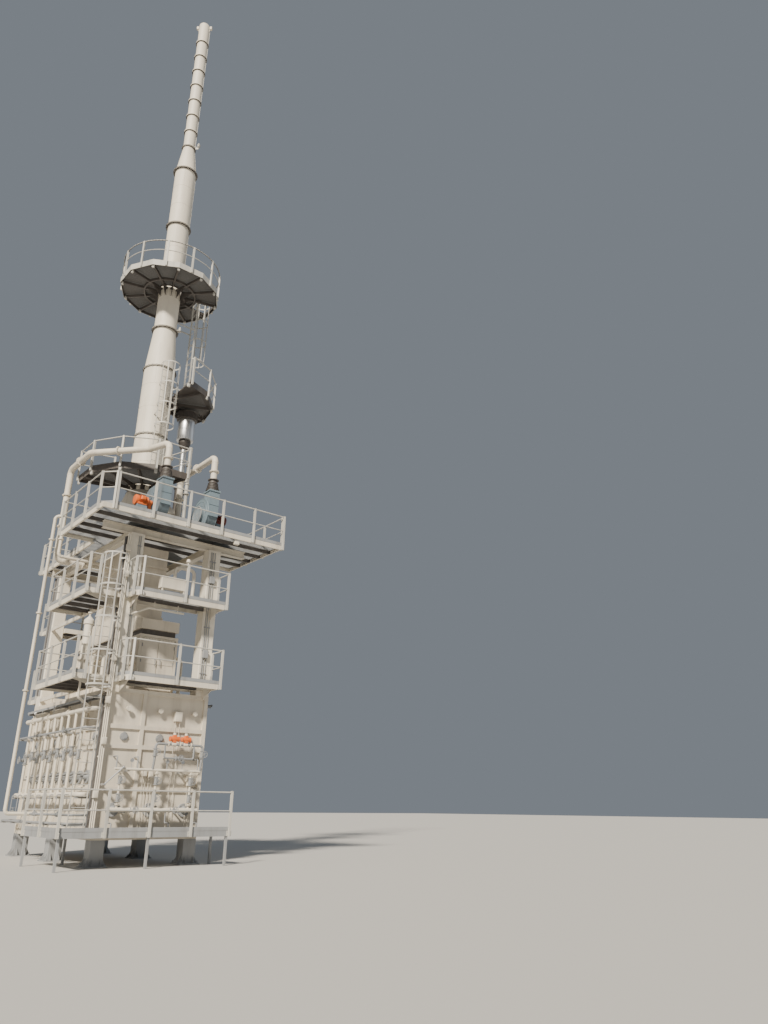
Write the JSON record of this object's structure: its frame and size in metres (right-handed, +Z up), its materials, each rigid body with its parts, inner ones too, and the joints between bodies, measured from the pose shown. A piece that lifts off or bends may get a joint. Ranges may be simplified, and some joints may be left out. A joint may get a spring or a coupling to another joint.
{
  "type": "process plant column standing on its fired heater",
  "caption": "Tall stepped steel column with stiffener rings, round platforms and caged ladders, carried by a raised steel-clad process heater with railed decks, fans and ducts.",
  "frame": {"origin": "on the ground, on the axis of the column, at the centre of the anchor pattern of the heater's legs", "axes": "+X to the right along the heater's front, +Y towards its back, +Z up along the column"},
  "size_m": [6.51, 9.23, 37.6],
  "materials": {
    "casing_paint": "weathered cream paint on steel plate",
    "column_paint": "weathered off-white paint",
    "deck_paint": "weathered cream paint on beams and grating",
    "rail_paint": "weathered off-white paint",
    "pipe_paint": "weathered cream paint on pipes",
    "platform_steel": "dull dark grating and beams",
    "grey_steel": "dull grey",
    "machine_paint": "blue-grey satin",
    "orange_paint": "orange satin",
    "silver_sheet": "brushed sheet"
  },
  "bodies": {
    "root": {"heater_legs": "grey_steel", "firebox": "casing_paint", "convection_box": "casing_paint", "convection_hood": "casing_paint", "flue_duct": "casing_paint", "breeching": "casing_paint", "column_front_left": "column_paint", "column_front_right": "column_paint", "column_back_left": "column_paint", "column_back_right": "column_paint", "stack_base": "column_paint", "stack_lower_shell": "column_paint", "stack_lower_cone": "column_paint", "stack_middle_shell": "column_paint", "stack_upper_shell": "column_paint", "stack_upper_cone": "column_paint", "stack_top_shell": "column_paint", "upper_platform": "platform_steel", "upper_platform_edge": "rail_paint", "upper_platform_brackets": "platform_steel", "upper_platform_railing": "rail_paint", "intermediate_platform": "platform_steel", "intermediate_platform_railing": "rail_paint", "lower_platform": "platform_steel", "lower_platform_railing": "rail_paint", "upper_caged_ladder": "rail_paint", "lower_caged_ladder": "rail_paint", "main_caged_ladder": "rail_paint", "main_beams": "deck_paint", "top_deck": "deck_paint", "top_deck_rail_front": "rail_paint", "top_deck_rail_left": "rail_paint", "top_deck_rail_right": "rail_paint", "top_deck_rail_back": "rail_paint", "middle_front_balcony": "deck_paint", "middle_front_railing": "rail_paint", "middle_side_balcony": "deck_paint", "middle_side_railing": "rail_paint", "middle_back_balcony": "deck_paint", "middle_back_railing": "rail_paint", "lower_front_balcony": "deck_paint", "lower_front_railing": "rail_paint", "lower_side_balcony": "deck_paint", "lower_side_railing": "rail_paint", "lower_back_balcony": "deck_paint", "lower_back_railing": "rail_paint", "low_deck": "grey_steel", "low_deck_railing": "rail_paint", "fan_1_housing": "machine_paint", "fan_1_motor": "orange_paint", "fan_2_housing": "machine_paint", "fan_2_motor": "orange_paint", "air_duct": "pipe_paint", "draft_duct": "pipe_paint", "side_risers": "pipe_paint", "vent_silencer": "silver_sheet", "side_header_pipes": "pipe_paint", "corner_pipes": "pipe_paint", "burner_manifold": "pipe_paint", "expansion_pot": "pipe_paint"}
  },
  "joints": []
}
